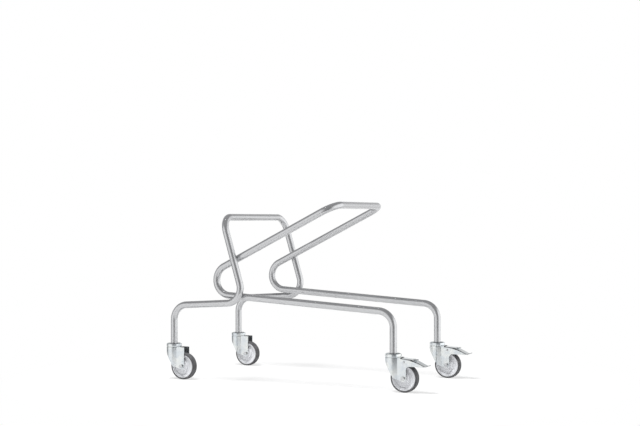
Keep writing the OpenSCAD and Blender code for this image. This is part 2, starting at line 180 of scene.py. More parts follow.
class Graph:
    """A node tree that is filled by expressions."""

    MIX_FACTOR, MIX_FIRST, MIX_SECOND, MIX_RESULT = 0, 6, 7, 2

    def __init__(self, tree: bpy.types.NodeTree) -> None:
        """Empties the tree."""
        self.tree = tree
        tree.nodes.clear()

    def add(
        self,
        kind: str,
        settings: Mapping[str, object] = {},
        inputs: Mapping[Union[str, int], Feed] = {},
        output: Union[str, int] = 0,
    ) -> Value:
        """Adds any node.

        Args:
            kind: the node's type.
            settings: its properties, set first.
            inputs: values or links of its sockets.
            output: the output that is handed back.

        Returns:
            The output, for use in expressions.
        """
        node = self.tree.nodes.new(kind)
        for name, setting in settings.items():
            setattr(node, name, setting)
        for key, feed in inputs.items():
            if isinstance(feed, Value):
                self.tree.links.new(feed.socket, node.inputs[key])
            else:
                node.inputs[key].default_value = feed
        return Value(self, node.outputs[output] if node.outputs else None)

    def mix(self, factor: Feed, first: Feed, second: Feed) -> Value:
        """Mixes two colours."""
        inputs = {self.MIX_FACTOR: factor, self.MIX_FIRST: first, self.MIX_SECOND: second}
        return self.add("ShaderNodeMix", {"data_type": "RGBA"}, inputs, self.MIX_RESULT)

    def place(self, stretch: Sequence[float] = (1, 1, 1)) -> Value:
        """Object coordinates, stretched along the axes."""
        coordinates = self.add("ShaderNodeTexCoord", output="Object")
        return self.add("ShaderNodeMapping", {}, {"Vector": coordinates, "Scale": stretch})

    def noise(self, place: Value, size: float, detail: float) -> Value:
        """Noise whose patches have about the given size in metres."""
        inputs = {"Vector": place, "Scale": 1 / size, "Detail": detail}
        return self.add("ShaderNodeTexNoise", {}, inputs, "Fac")

    def steps(self, value: Value, levels: Levels) -> Value:
        """Ramps a value smoothly from 0 to 1 between two of its levels."""
        inputs = {"Value": value, "From Min": levels[0], "From Max": levels[1]}
        return self.add("ShaderNodeMapRange", {"interpolation_type": "SMOOTHSTEP"}, inputs)

    def relief(self, height: Value, depth: float, strength: float) -> Value:
        """A bumped normal for a height of 0 to 1 over a depth in metres."""
        return self.add("ShaderNodeBump", {}, {"Height": height, "Distance": depth, "Strength": strength})


# Finishes


@dataclass(frozen=True)
class Finish:
    """A surface finish, with the record's slot that it belongs to."""

    name: str
    slot: str

    def material(self) -> bpy.types.Material:
        """Makes the material once.

        Returns:
            The material, the same one at every call.
        """
        made = bpy.data.materials.get(self.name)
        if made is None:
            made = bpy.data.materials.new(self.name)
            made.use_nodes = True
            graph = Graph(made.node_tree)
            graph.add("ShaderNodeOutputMaterial", {}, {"Surface": self.shade(graph)})
        return made

    def shade(self, graph: Graph) -> Value:
        """Builds the surface shader."""
        raise NotImplementedError


@dataclass(frozen=True)
class Lacquer(Finish):
    """Satin metallic lacquer on the frame tubes: fine flake, faint orange peel, slow mottle."""

    light: Colour = (0.6, 0.605, 0.615, 1)
    dark: Colour = (0.52, 0.525, 0.535, 1)
    mottle_size: float = 90 * MM
    flake_size: float = 0.5 * MM
    flake_share: float = 0.5
    peel_size: float = 3 * MM
    peel_depth: float = 0.004 * MM
    peel_strength: float = 0.6
    metal: float = 0.85
    roughness: float = 0.2
    mottle_roughness: float = 0.06
    flake_roughness: float = 0.03
    coat: float = 0.25
    coat_roughness: float = 0.2

    def shade(self, graph: Graph) -> Value:
        """Builds the lacquer.

        Args:
            graph: the material's nodes.

        Returns:
            The surface shader.
        """
        place = graph.place()
        mottle = graph.noise(place, self.mottle_size, detail=3)
        flake = graph.noise(place, self.flake_size, detail=1)
        peel = graph.noise(place, self.peel_size, detail=2)
        tone = (1 - self.flake_share) * mottle + self.flake_share * flake
        return graph.add("ShaderNodeBsdfPrincipled", {}, {
            "Base Color": graph.mix(tone, self.dark, self.light),
            "Metallic": self.metal,
            "Roughness": self.roughness + self.mottle_roughness * mottle + self.flake_roughness * flake,
            "Coat Weight": self.coat,
            "Coat Roughness": self.coat_roughness,
            "Normal": graph.relief(peel, self.peel_depth, self.peel_strength),
        })


@dataclass(frozen=True)
class Plating(Finish):
    """Bright zinc on steel: a bluish sheen with faint drawing lines, and painted shade, darker and rougher,
    on marked faces.
    """

    # Face attribute that marks where shade is painted: inside the forks and along the pedal's sides.
    PAINTED_SHADE: ClassVar[str] = "painted_shade_mask"
    blue: Colour = (0.63, 0.67, 0.70, 1)
    pale: Colour = (0.75, 0.77, 0.76, 1)
    painted_shade_tone: Colour = (0.3, 0.31, 0.32, 1)
    patch_size: float = 22 * MM
    patch_levels: Levels = (0.3, 0.7)
    line_size: float = 1.2 * MM
    line_stretch: Direction = (1, 1, 0.06)
    line_depth: float = 0.008 * MM
    line_strength: float = 0.5
    roughness: float = 0.09
    patch_roughness: float = 0.12
    line_roughness: float = 0.06
    painted_shade_roughness: float = 0.15

    def shade(self, graph: Graph) -> Value:
        """Builds the plating.

        Args:
            graph: the material's nodes.

        Returns:
            The surface shader.
        """
        patch = graph.noise(graph.place(), self.patch_size, detail=3)
        line = graph.noise(graph.place(self.line_stretch), self.line_size, detail=3)
        # Painted shade: marked faces get a dark grey base colour in place of the zinc, and more roughness.
        shade_mask = graph.add("ShaderNodeAttribute", {"attribute_name": self.PAINTED_SHADE}, output="Fac")
        bright = graph.mix(graph.steps(patch, self.patch_levels), self.blue, self.pale)
        rough = self.roughness + self.patch_roughness * patch + self.line_roughness * line
        return graph.add("ShaderNodeBsdfPrincipled", {}, {
            "Base Color": graph.mix(shade_mask, bright, self.painted_shade_tone),
            "Metallic": 1.0,
            "Roughness": rough + self.painted_shade_roughness * shade_mask,
            "Normal": graph.relief(line, self.line_depth, self.line_strength),
        })


@dataclass(frozen=True)
class Moulding(Finish):
    """Moulded plastic with a fine satin grain."""

    light: Colour = (0.80, 0.81, 0.83, 1)
    dark: Colour = (0.72, 0.73, 0.76, 1)
    flow_size: float = 18 * MM
    grain_size: float = 0.6 * MM
    grain_share: float = 0.3
    grain_depth: float = 0.015 * MM
    grain_strength: float = 0.5
    roughness: float = 0.32
    grain_roughness: float = 0.1

    def shade(self, graph: Graph) -> Value:
        """Builds the moulding.

        Args:
            graph: the material's nodes.

        Returns:
            The surface shader.
        """
        place = graph.place()
        flow = graph.noise(place, self.flow_size, detail=3)
        grain = graph.noise(place, self.grain_size, detail=2)
        tone = (1 - self.grain_share) * flow + self.grain_share * grain
        return graph.add("ShaderNodeBsdfPrincipled", {}, {
            "Base Color": graph.mix(tone, self.dark, self.light),
            "Roughness": self.roughness + self.grain_roughness * grain,
            "Normal": graph.relief(grain, self.grain_depth, self.grain_strength),
        })


@dataclass(frozen=True)
class Rubber(Finish):
    """Dull rubber with a scuffed bloom."""

    fresh: Colour = (0.075, 0.075, 0.08, 1)
    bloom: Colour = (0.13, 0.13, 0.135, 1)
    bloom_size: float = 14 * MM
    bloom_levels: Levels = (0.35, 0.7)
    grain_size: float = 0.8 * MM
    grain_depth: float = 0.05 * MM
    grain_strength: float = 0.6
    roughness: float = 0.5
    bloom_roughness: float = 0.15
    grain_roughness: float = 0.1

    def shade(self, graph: Graph) -> Value:
        """Builds the rubber.

        Args:
            graph: the material's nodes.

        Returns:
            The surface shader.
        """
        place = graph.place()
        bloom = graph.noise(place, self.bloom_size, detail=4)
        grain = graph.noise(place, self.grain_size, detail=2)
        return graph.add("ShaderNodeBsdfPrincipled", {}, {
            "Base Color": graph.mix(graph.steps(bloom, self.bloom_levels), self.fresh, self.bloom),
            "Roughness": self.roughness + self.bloom_roughness * bloom + self.grain_roughness * grain,
            "Normal": graph.relief(grain, self.grain_depth, self.grain_strength),
        })


FRAME_LACQUER = Lacquer("satin_frame_lacquer", "frame_lacquer")
ZINC_SHEET = Plating("bright_zinc_sheet", "zinc_plate")
ZINC_FASTENER = Plating(
    "zinc_fastener", "fastener_steel", blue=(0.5, 0.52, 0.55, 1), pale=(0.66, 0.66, 0.65, 1),
    patch_size=6 * MM, line_size=0.5 * MM, line_stretch=(1, 0.1, 1), roughness=0.22,
)
POLISHED_STEEL = Plating(
    "polished_bearing_steel", "bearing_steel", blue=(0.7, 0.71, 0.73, 1), pale=(0.8, 0.8, 0.8, 1),
    patch_size=8 * MM, line_size=0.4 * MM, line_stretch=(1, 1, 1), roughness=0.1,
)
HUB_PLASTIC = Moulding("light_hub_plastic", "hub_plastic")
EXPANDER_PLASTIC = Moulding(
    "black_expander_plastic", "expander_plastic", light=(0.07, 0.07, 0.07, 1), dark=(0.04, 0.04, 0.04, 1),
)
TYRE_RUBBER = Rubber("grey_tyre_rubber", "tyre_rubber")
SHOE_RUBBER = Rubber(
    "black_shoe_rubber", "shoe_rubber", fresh=(0.025, 0.025, 0.025, 1), bloom=(0.06, 0.06, 0.06, 1),
)


# Meshes


class Workpiece:
    """A mesh under construction, shaped by bmesh operators."""

    SHARP_ANGLE = math.radians(38)
    RIM_ANGLE = math.radians(50)
    WELD_DISTANCE = 0.001 * MM
    CORNER_SEGMENTS = 5
    BEND_STEP_DEGREES = 4
    LEAST_BEND_STEPS = 6

    def __init__(self) -> None:
        """Starts empty."""
        self.bm = bmesh.new()

    @classmethod
    def turned(
        cls, points: Sequence[Sequence[float]], roundings: Sequence[float], centre: Vector, axis: Vector,
        steps: int, closed: bool = True,
    ) -> "Workpiece":
        """Turns a section into a round piece.

        Args:
            points: the section's corners.
            roundings: how far each corner is cut back along its edges; none leaves all sharp.
            centre: a point on the axis.
            axis: the axis' direction.
            steps: the number of steps in the full turn.
            closed: whether the section is closed; an open one starts and ends on the axis.

        Returns:
            The turned piece.
        """
        piece = cls()
        piece.turn(piece.wire(points, roundings, closed), centre, axis, steps)
        piece.clean()
        return piece

    @classmethod
    def plate(cls, points: Sequence[Sequence[float]]) -> "Workpiece":
        """Fills an outline.

        Args:
            points: the outline's corners.

        Returns:
            The flat plate, without a thickness.
        """
        piece = cls()
        bmesh.ops.edgeloop_fill(piece.bm, edges=piece.wire(points))
        return piece

    @staticmethod
    def _kind(geometry: Iterable[object], kind: type) -> list:
        """Picks the elements of one type."""
        return [element for element in geometry if isinstance(element, kind)]

    def wire(
        self, points: Sequence[Sequence[float]], roundings: Sequence[float] = (), closed: bool = True
    ) -> list[bmesh.types.BMEdge]:
        """Joins points by edges and rounds the corners.

        Args:
            points: the corners, in order.
            roundings: how far each corner is cut back along its edges; none leaves all sharp.
            closed: whether the last point is joined to the first.

        Returns:
            The wire's edges.
        """
        old_edges = set(self.bm.edges)
        verts = [bmesh.ops.create_vert(self.bm, co=point)["vert"][0] for point in points]
        followers = verts[1:] + verts[:1] if closed else verts[1:]
        for first, second in zip(verts, followers):
            bmesh.ops.contextual_create(self.bm, geom=[first, second])
        for vert, rounding in zip(verts, roundings):
            if rounding > 0:
                self.round_corners([vert], rounding, self.CORNER_SEGMENTS)
        return [edge for edge in self.bm.edges if edge not in old_edges]

    def round_corners(self, verts: Sequence[bmesh.types.BMVert], width: float, segments: int) -> None:
        """Rounds corners of a wire or of a flat sheet.

        Args:
            verts: the corners.
            width: how far each is cut back along its edges.
            segments: the number of segments in each rounding.
        """
        bmesh.ops.bevel(
            self.bm, geom=verts, offset=width, offset_type="OFFSET", segments=segments,
            profile=0.5, affect="VERTICES", material=-1,
        )

    def ring(self, sides: int, radius: float, facing: Matrix) -> list[bmesh.types.BMEdge]:
        """Draws a circle and hands back its edges."""
        verts = bmesh.ops.create_circle(self.bm, segments=sides, radius=radius, matrix=facing)["verts"]
        return list(dict.fromkeys(edge for vert in verts for edge in vert.link_edges))

    def turn(
        self, edges: Sequence[bmesh.types.BMEdge], centre: Vector, axis: Vector, steps: int,
        angle: float = FULL_TURN,
    ) -> list[bmesh.types.BMEdge]:
        """Spins edges about an axis.

        Args:
            edges: a wire or a ring.
            centre: a point on the axis.
            axis: the axis' direction.
            steps: the number of steps.
            angle: the turn; a full one is closed.

        Returns:
            The edges at the end of the turn.
        """
        verts = list(dict.fromkeys(vert for edge in edges for vert in edge.verts))
        spun = bmesh.ops.spin(
            self.bm, geom=verts + list(edges), cent=centre, axis=axis, dvec=(0, 0, 0), angle=angle,
            steps=steps, use_merge=angle == FULL_TURN, use_normal_flip=False, use_duplicate=False,
        )
        return self._kind(spun["geom_last"], bmesh.types.BMEdge)

    def push(self, edges: Sequence[bmesh.types.BMEdge], way: Vector) -> list[bmesh.types.BMEdge]:
        """Extrudes edges.

        Args:
            edges: a wire or a ring.
            way: how far, and in which direction.

        Returns:
            The edges at the far end.
        """
        grown = bmesh.ops.extrude_edge_only(self.bm, edges=list(edges))["geom"]
        bmesh.ops.translate(self.bm, verts=self._kind(grown, bmesh.types.BMVert), vec=way)
        return self._kind(grown, bmesh.types.BMEdge)

    def sweep(self, stations: Sequence[tuple[Vector, Vector]]) -> None:
        """Extrudes an edge from station to station.

        Args:
            stations: the edge's two ends at each station.
        """
        edges = self.wire(stations[0], closed=False)
        for (before, _), (first, second) in zip(stations, stations[1:]):
            grown = bmesh.ops.extrude_edge_only(self.bm, edges=edges)["geom"]
            edges = self._kind(grown, bmesh.types.BMEdge)
            ends = self._kind(grown, bmesh.types.BMVert)
            ends.sort(key=lambda vert: (vert.co - before).length)
            ends[0].co = first
            ends[1].co = second

    def tube(self, path: Sequence[Vector], radius: float, bend_radius: float, sides: int) -> None:
        """Draws a capped round bar along a path whose corners are bent.

        Args:
            path: the corners of the centre line.
            radius: the bar's radius.
            bend_radius: the bends' radius at the centre line.
            sides: the number of sides round the bar.
        """
        at = path[0]
        way = (path[1] - path[0]).normalized()
        facing = Matrix.Translation(at) @ way.to_track_quat("Z", "Y").to_matrix().to_4x4()
        edges = self.ring(sides, radius, facing)
        bmesh.ops.edgeloop_fill(self.bm, edges=edges)
        for before, corner, after in zip(path, path[1:], path[2:]):
            way_in = (corner - before).normalized()
            way_out = (after - corner).normalized()
            angle = way_in.angle(way_out)
            setback = bend_radius * math.tan(angle / 2)
            start = corner - way_in * setback
            axis = way_in.cross(way_out).normalized()
            edges = self.push(edges, start - at)
            steps = max(self.LEAST_BEND_STEPS, round(math.degrees(angle) / self.BEND_STEP_DEGREES))
            edges = self.turn(edges, start + axis.cross(way_in) * bend_radius, axis, steps, angle)
            at = corner + way_out * setback
        edges = self.push(edges, path[-1] - at)
        bmesh.ops.edgeloop_fill(self.bm, edges=edges)

    def thicken(self, thickness: float) -> None:
        """Gives a sheet its thickness, evenly to both sides.

        Args:
            thickness: the whole thickness.
        """
        self.clean()
        self.bm.normal_update()
        shifts = [vert.normal * vert.calc_shell_factor() * thickness / 2 for vert in self.bm.verts]
        for vert, shift in zip(self.bm.verts, shifts):
            vert.co += shift
        bmesh.ops.solidify(self.bm, geom=self.bm.faces[:], thickness=thickness)
        self.bm.normal_update()

    def soften(self, width: float, segments: int = 2) -> None:
        """Rounds every edge at which the surface turns sharply.

        Args:
            width: how far the edges are cut back.
            segments: the number of segments in each rounding.
        """
        self.clean()
        sharp = [
            edge for edge in self.bm.edges
            if len(edge.link_faces) == 2 and edge.calc_face_angle() > self.RIM_ANGLE
        ]
        bmesh.ops.bevel(
            self.bm, geom=sharp, offset=width, offset_type="OFFSET", segments=segments, profile=0.5,
            affect="EDGES", clamp_overlap=True, material=-1,
        )

    def flatten(self, point: Vector, normal: Vector) -> None:
        """Cuts off what lies beyond a plane and closes the cut.

        Args:
            point: a point on the plane.
            normal: the plane's normal, towards what is cut off.
        """
        everything = self.bm.verts[:] + self.bm.edges[:] + self.bm.faces[:]
        cut = bmesh.ops.bisect_plane(
            self.bm, geom=everything, plane_co=point, plane_no=normal, clear_outer=True,
            dist=self.WELD_DISTANCE,
        )["geom_cut"]
        bmesh.ops.edgeloop_fill(self.bm, edges=self._kind(cut, bmesh.types.BMEdge))

    def clean(self) -> None:
        """Merges doubles and turns the faces outwards."""
        bmesh.ops.remove_doubles(self.bm, verts=self.bm.verts[:], dist=self.WELD_DISTANCE)
        bmesh.ops.recalc_face_normals(self.bm, faces=self.bm.faces[:])

    def mark(self, name: str, test: Callable[[bmesh.types.BMFace], bool]) -> None:
        """Marks the faces that pass a test, for a finish to read.

        Args:
            name: the attribute's name.
            test: says whether a face is marked.
        """
        layer = self.bm.faces.layers.float.new(name)
        self.bm.normal_update()
        for face in self.bm.faces:
            face[layer] = float(test(face))

    def absorb(self, other: "Workpiece") -> None:
        """Takes in another workpiece's mesh.

        Args:
            other: the workpiece, which is used up.
        """
        mesh = bpy.data.meshes.new("absorbed")
        other.bm.to_mesh(mesh)
        other.bm.free()
        self.bm.from_mesh(mesh)
        bpy.data.meshes.remove(mesh)

    def move(self, way: Vector) -> None:
        """Moves the whole mesh."""
        bmesh.ops.translate(self.bm, verts=self.bm.verts[:], vec=way)

    def deliver(self, name: str, finish: Finish, body: str, stands_for: Sequence[str]) -> None:
        """Makes the object, dresses it and hands it to a body.

        Args:
            name: the piece's name.
            finish: its finish.
            body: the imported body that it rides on.
            stands_for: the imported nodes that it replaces.
        """
        mesh = bpy.data.meshes.new(name)
        self.bm.to_mesh(mesh)
        self.bm.free()
        mesh.shade_smooth()
        mesh.set_sharp_from_angle(angle=self.SHARP_ANGLE)
        mesh.materials.append(finish.material())
        piece = bpy.data.objects.new(name, mesh)
        bpy.context.scene.collection.objects.link(piece)
        weighted = piece.modifiers.new("even_shading", "WEIGHTED_NORMAL")
        weighted.keep_sharp = True
        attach(piece, body)
        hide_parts(*stands_for)
        LOG.info("%s on %s: %d faces, %s", name, body, len(mesh.polygons), finish.name)


# The frame


@dataclass
class WeldedFrame:
    """Two hoops of bent tube, side by side, and the welds between them.

    A point in side view is a vector of two numbers, along the trolley and up.
    """

    tube_diameter: float = 25 * MM
    bend_radius: float = 55 * MM
    tube_sides: int = 48
    run_height: float = 267 * MM
    run_rise: float = math.radians(3.6)
    upright_foot: float = 292.5 * MM
    upright_lean: float = math.radians(16.7)
    back_bar_height: float = 587 * MM
    loop_place: float = 219 * MM
    rail_slope: float = math.radians(26.6)
    seat_bar_place: float = 630.5 * MM
    weld_radius: float = 6.5 * MM
    weld_bead: float = 2.0 * MM
    weld_sides: int = 12
    weld_ripples: int = 18
    weld_ripple_steps: int = 6
    weld_ripple_depth: float = 0.14
    rear_half_track: float = field(init=False)
    front_half_track: float = field(init=False)
    upright_corner: Vector = field(init=False)
    back_bar: Vector = field(init=False)
    loop_corner: Vector = field(init=False)
    seat_bar: Vector = field(init=False)
    rear_side: list[Vector] = field(init=False)
    front_side: list[Vector] = field(init=False)

    def __post_init__(self) -> None:
        """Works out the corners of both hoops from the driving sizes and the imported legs."""
        rear = middle_of(Corner.REAR_LEFT.node("king_bolt"))
        front = middle_of(Corner.FRONT_LEFT.node("king_bolt"))
        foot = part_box("rear_hoop")[0].z
        self.rear_half_track = rear.y
        self.front_half_track = front.y
        rise = math.tan(self.run_rise)
        slope = math.tan(self.rail_slope)
        upright_height = self.run_height + self.upright_foot * rise
        self.upright_corner = Vector((rear.x + self.upright_foot, upright_height))
        lean = (self.back_bar_height - self.upright_corner.y) * math.tan(self.upright_lean)
        self.back_bar = Vector((self.upright_corner.x - lean, self.back_bar_height))
        loop_x = rear.x + self.loop_place
        loop_run = self.run_height + (front.x - loop_x) * rise
        loop_middle = Vector((loop_x, loop_run + self.bend_radius / math.cos(self.run_rise)))
        rail_normal = Vector((-math.sin(self.rail_slope), math.cos(self.rail_slope)))
        rail_start = loop_middle + self.bend_radius * rail_normal
        rail_at_loop = rail_start.y + (loop_x - rail_start.x) * slope
        corner_x = loop_x - (rail_at_loop - loop_run) / (slope + rise)
        self.loop_corner = Vector((corner_x, self.run_height + (front.x - corner_x) * rise))
        bar_x = rear.x + self.seat_bar_place
        self.seat_bar = Vector((bar_x, rail_start.y + (bar_x - rail_start.x) * slope))
        self.rear_side = [
            Vector((rear.x, foot)), Vector((rear.x, self.run_height)), self.upright_corner, self.back_bar,
        ]
        self.front_side = [
            Vector((front.x, foot)), Vector((front.x, self.run_height)), self.loop_corner, self.seat_bar,
        ]

    def build(self) -> None:
        """Makes both hoops and the welds."""
        self._hoop("rear", self.rear_side, self.rear_half_track)
        self._hoop("front", self.front_side, self.front_half_track)
        welds = Workpiece()
        for side in (-1, 1):
            for crossing in self._crossings():
                self._weld(welds, crossing, side)
        welds.clean()
        welds.deliver("rippled_welds", FRAME_LACQUER, "frame", ["weld_beads"])

    def _hoop(self, name: str, side: Sequence[Vector], half_track: float) -> None:
        """Bends one hoop: up one side, across at its bar and down the other side.

        Args:
            name: which hoop it is.
            side: the corners of its centre line in side view, from the leg's foot to the bar.
            half_track: the distance of its sides from the trolley's middle.
        """
        path = [Vector((point.x, -half_track, point.y)) for point in side]
        path += [Vector((point.x, half_track, point.y)) for point in reversed(side)]
        piece = Workpiece()
        piece.tube(path, self.tube_diameter / 2, self.bend_radius, self.tube_sides)
        piece.clean()
        piece.deliver(f"{name}_bent_tube", FRAME_LACQUER, "frame", [f"{name}_hoop"])

    def _crossings(self) -> list[Vector]:
        """Works out where the hoops cross in side view.

        Returns:
            Upright over rail, and rear bend over front run.
        """
        upright_over_rail = intersect_line_line_2d(
            self.upright_corner, self.back_bar, self.loop_corner, self.seat_bar
        )
        run_way = (self.upright_corner - self.rear_side[1]).normalized()
        turn = QUARTER_TURN + self.upright_lean - self.run_rise
        bend_start = self.upright_corner - run_way * self.bend_radius * math.tan(turn / 2)
        bend_middle = bend_start + self.bend_radius * Vector((-run_way.y, run_way.x))
        hits = intersect_line_sphere_2d(
            self.loop_corner, self.front_side[1], bend_middle, self.bend_radius, True
        )
        bend_over_run = max((hit for hit in hits if hit is not None), key=lambda hit: hit.x)
        return [upright_over_rail, bend_over_run]

    def _weld(self, welds: Workpiece, crossing: Vector, side: int) -> None:
        """Lays one rippled bead round the point where two tubes touch.

        Args:
            welds: the workpiece that takes in the bead.
            crossing: the point in side view.
            side: -1 for the right side and 1 for the left.
        """
        contact = side * (self.rear_half_track + self.front_half_track) / 2
        middle = Vector((crossing.x, contact, crossing.y))
        bead = Workpiece()
        facing = Matrix.Translation(middle + ALONG * self.weld_radius)
        edges = bead.ring(self.weld_sides, self.weld_bead, facing)
        bead.turn(edges, middle, ACROSS, self.weld_ripples * self.weld_ripple_steps)
        for vert in bead.bm.verts:
            arm = vert.co - middle
            bearing = math.atan2(arm.z, arm.x)
            swell = 1 + self.weld_ripple_depth * abs(math.sin(bearing * self.weld_ripples / 2))
            spine = Vector((math.cos(bearing), 0, math.sin(bearing))) * self.weld_radius
            vert.co = middle + spine + (arm - spine) * swell
        welds.absorb(bead)


# Castor pieces, in castor coordinates: the swivel axis on Z and the wheel trailing towards +X


@dataclass
class HexFastener:
    """Hexagon heads and nuts with turned chamfers, and plain rods."""

    flat_count: int = 6
    flats_share: float = 1.65
    chamfer_share: float = 0.09
    chamfer_slope: float = 0.58
    turned_sides: int = 48

    def head(self, thread: float, start: Vector, way: Vector, height: float) -> Workpiece:
        """Turns a chamfered blank and mills its six flats.

        Args:
            thread: the thread's diameter.
            start: the middle of the seat.
            way: the direction from the seat to the top.
            height: the head's height.

        Returns:
            The head as a workpiece.
        """
        flats = thread * self.flats_share
        corner = flats / 2 / math.cos(math.pi / self.flat_count)
        chamfer = self.chamfer_share * flats
        aside = UP if runs_along(way, ACROSS) else ACROSS
        outline = [
            start,
            start + aside * corner,
            start + aside * corner + way * (height - chamfer * self.chamfer_slope),
            start + aside * (corner - chamfer) + way * height,
            start + way * height,
        ]
        piece = Workpiece.turned(outline, (), start, way, self.turned_sides, closed=False)
        for flat in range(self.flat_count):
            turned = Matrix.Rotation(FULL_TURN * flat / self.flat_count, 3, way) @ aside
            piece.flatten(start + turned * flats / 2, turned)
        return piece

    def rod(self, diameter: float, start: Vector, way: Vector, length: float, chamfer: float) -> Workpiece:
        """Turns a plain rod with a chamfered far end.

        Args:
            diameter: the rod's diameter.
            start: the middle of its near end.
            way: the direction to its far end.
            length: the rod's length.
            chamfer: the chamfer's width.

        Returns:
            The rod as a workpiece.
        """
        aside = way.orthogonal().normalized()
        radius = diameter / 2
        outline = [
            start,
            start + aside * radius,
            start + aside * radius + way * (length - chamfer),
            start + aside * (radius - chamfer) + way * length,
            start + way * length,
        ]
        return Workpiece.turned(outline, (), start, way, self.turned_sides, closed=False)


@dataclass
class Fork:
    """The pressed fork: a round crown with a rolled rim, a curved front and two flat cheeks."""

    braked: bool
    sheet: float = 2.5 * MM
    head_radius: float = 28 * MM
    gap: float = 34 * MM
    trail: float = 42 * MM
    axle_height: float = 48.5 * MM
    boss_radius: float = 11 * MM
    lead_corner: float = 9 * MM
    crown_height: float = 114.8 * MM
    crease_radius: float = 10 * MM
    shoulder: float = 1.4 * MM
    rim_height: float = 12 * MM
    rim_thickness: float = 4.5 * MM
    rim_groove: float = 1.5 * MM
    rim_roll_share: float = 0.49
    rim_under_share: float = 0.8
    neck_fillet: float = 0.5 * MM
    groove_fillet: float = 0.2 * MM
    king_bore: float = 5.05 * MM
    bore_rounding: float = 0.3 * MM
    wing_reach: float = 116 * MM
    wing_rise: float = 40.5 * MM
    wing_radius: float = 200 * MM
    wing_fillet: float = 12 * MM
    wing_start: float = 33 * MM
    wing_tip_height: float = 2 * MM
    edge_rounding: float = 0.5 * MM
    crease_steps: int = 8
    shoulder_steps: int = 6
    nose_steps: int = 30
    boss_steps: int = 24
    fillet_steps: int = 8
    wing_steps: int = 24
    turned_steps: int = 96

    @property
    def width(self) -> float:
        """Width over both cheeks."""
        return self.gap + 2 * self.sheet

    @property
    def cheek_place(self) -> float:
        """Distance of a cheek's middle plane from the castor's."""
        return (self.gap + self.sheet) / 2

    @property
    def top(self) -> float:
        """Height of the crown's upper face."""
        return self.crown_height + self.sheet

    @property
    def nose_radius(self) -> float:
        """Radius of the round front at the middle of its sheet."""
        return self.head_radius - self.sheet / 2

    @property
    def crease(self) -> Point2:
        """Middle of the crease between the round front and the left cheek, from above."""
        y = self.cheek_place + self.crease_radius
        return math.sqrt((self.nose_radius + self.crease_radius) ** 2 - y**2), y

    @property
    def boss_angle(self) -> float:
        """Slope of the cheek's lower edge, which runs up to the boss."""
        return math.asin(self.boss_radius / (self.trail - self.lead_corner))

    def build(self) -> Workpiece:
        """Presses the wall and the crown and joins them.

        Returns:
            The whole fork.
        """
        piece = Workpiece()
        piece.sweep(self._front_stations())
        for y in (-self.cheek_place, self.cheek_place):
            piece.absorb(Workpiece.plate([(x, y, z) for x, z in self._cheek_outline()]))
        piece.thicken(self.sheet)
        piece.soften(self.edge_rounding)
        # Painted shade: the inner faces between the cheeks, where shade falls, get the dark painted-shade
        # zinc.
        piece.mark(Plating.PAINTED_SHADE, self._is_inner)
        piece.absorb(self._crown())
        return piece

    @staticmethod
    def _is_inner(face: bmesh.types.BMFace) -> bool:
        """Whether an upright face looks towards the king bolt."""
        outwards = face.calc_center_median().xy.dot(face.normal.xy)
        return outwards < 0 and is_upright(face)

    def _front_plan(self) -> list[Point2]:
        """Draws the round front's middle line from above.

        Returns:
            Its points from the left cheek to the right one.
        """
        crease_turn = math.atan2(self.crease[1], self.crease[0])
        knee = math.acos(self.lead_corner / self.nose_radius)
        crease_end = crease_turn - HALF_TURN
        half = arc(self.crease, self.crease_radius, -QUARTER_TURN, crease_end, self.crease_steps)
        half += arc((0, 0), self.nose_radius, crease_turn, knee, self.shoulder_steps)[1:]
        half += arc((0, 0), self.nose_radius, knee, HALF_TURN, self.nose_steps)[1:]
        return half + [(x, -y) for x, y in reversed(half[:-1])]

    def _front_stations(self) -> list[tuple[Vector, Vector]]:
        """Stands the round front up on its plan.

        Returns:
            The lower and upper ends from column to column.
        """
        stations = []
        for x, y in self._front_plan():
            flat = abs(y) <= self.cheek_place + SLACK
            upper = self.top if flat else self.top - self.shoulder
            stations.append((Vector((x, y, self._lower_edge(x))), Vector((x, y, upper))))
        return stations

    def _lower_edge(self, x: float) -> float:
        """Works out the lower edge ahead of the boss.

        Args:
            x: the place along X.

        Returns:
            The edge's height.
        """
        if x >= self.lead_corner:
            return self.axle_height - (x - self.lead_corner) * math.tan(self.boss_angle)
        lead = (self.crown_height - self.axle_height) / (self.head_radius + self.lead_corner)
        return self.axle_height + (self.lead_corner - x) * lead

    def _cheek_outline(self) -> list[Point2]:
        """Draws a cheek along X and Z.

        Returns:
            Its outline from the crease down round the boss and back along the top.
        """
        crease_x = self.crease[0]
        boss = (self.trail, self.axle_height)
        outline = [(crease_x, self._lower_edge(crease_x))]
        outline += arc(boss, self.boss_radius, -QUARTER_TURN - self.boss_angle, 0, self.boss_steps)
        if self.braked:
            outline += self._wing_outline()
        else:
            outline.append((self.trail + self.boss_radius, self.top))
        return outline + [(crease_x, self.top)]

    def _wing_outline(self) -> list[Point2]:
        """Draws the wing of a braked fork along X and Z.

        Returns:
            Its fillet, lower edge, tip and curved upper edge.
        """
        low = self.axle_height + self.wing_rise
        fillet = (self.trail + self.boss_radius + self.wing_fillet, low - self.wing_fillet)
        outline = arc(fillet, self.wing_fillet, HALF_TURN, QUARTER_TURN, self.fillet_steps)
        outline.append((self.wing_reach, low))
        for step in range(self.wing_steps + 1):
            x = self.wing_reach + (self.wing_start - self.wing_reach) * step / self.wing_steps
            outline.append((x, self._wing_top(x)))
        return outline + [(self.wing_start, self.top)]

    def _wing_top(self, x: float) -> float:
        """Works out the wing's curved upper edge.

        Args:
            x: the place along X.

        Returns:
            The edge's height.
        """
        start = Vector((self.wing_start, self.crown_height - self.sheet / 2))
        tip = Vector((self.wing_reach, self.axle_height + self.wing_rise + self.wing_tip_height))
        chord = tip - start
        inward = Vector((chord.y, -chord.x)).normalized()
        middle = (start + tip) / 2 + inward * math.sqrt(self.wing_radius**2 - (chord.length / 2) ** 2)
        return middle.y + math.sqrt(self.wing_radius**2 - (x - middle.x) ** 2)

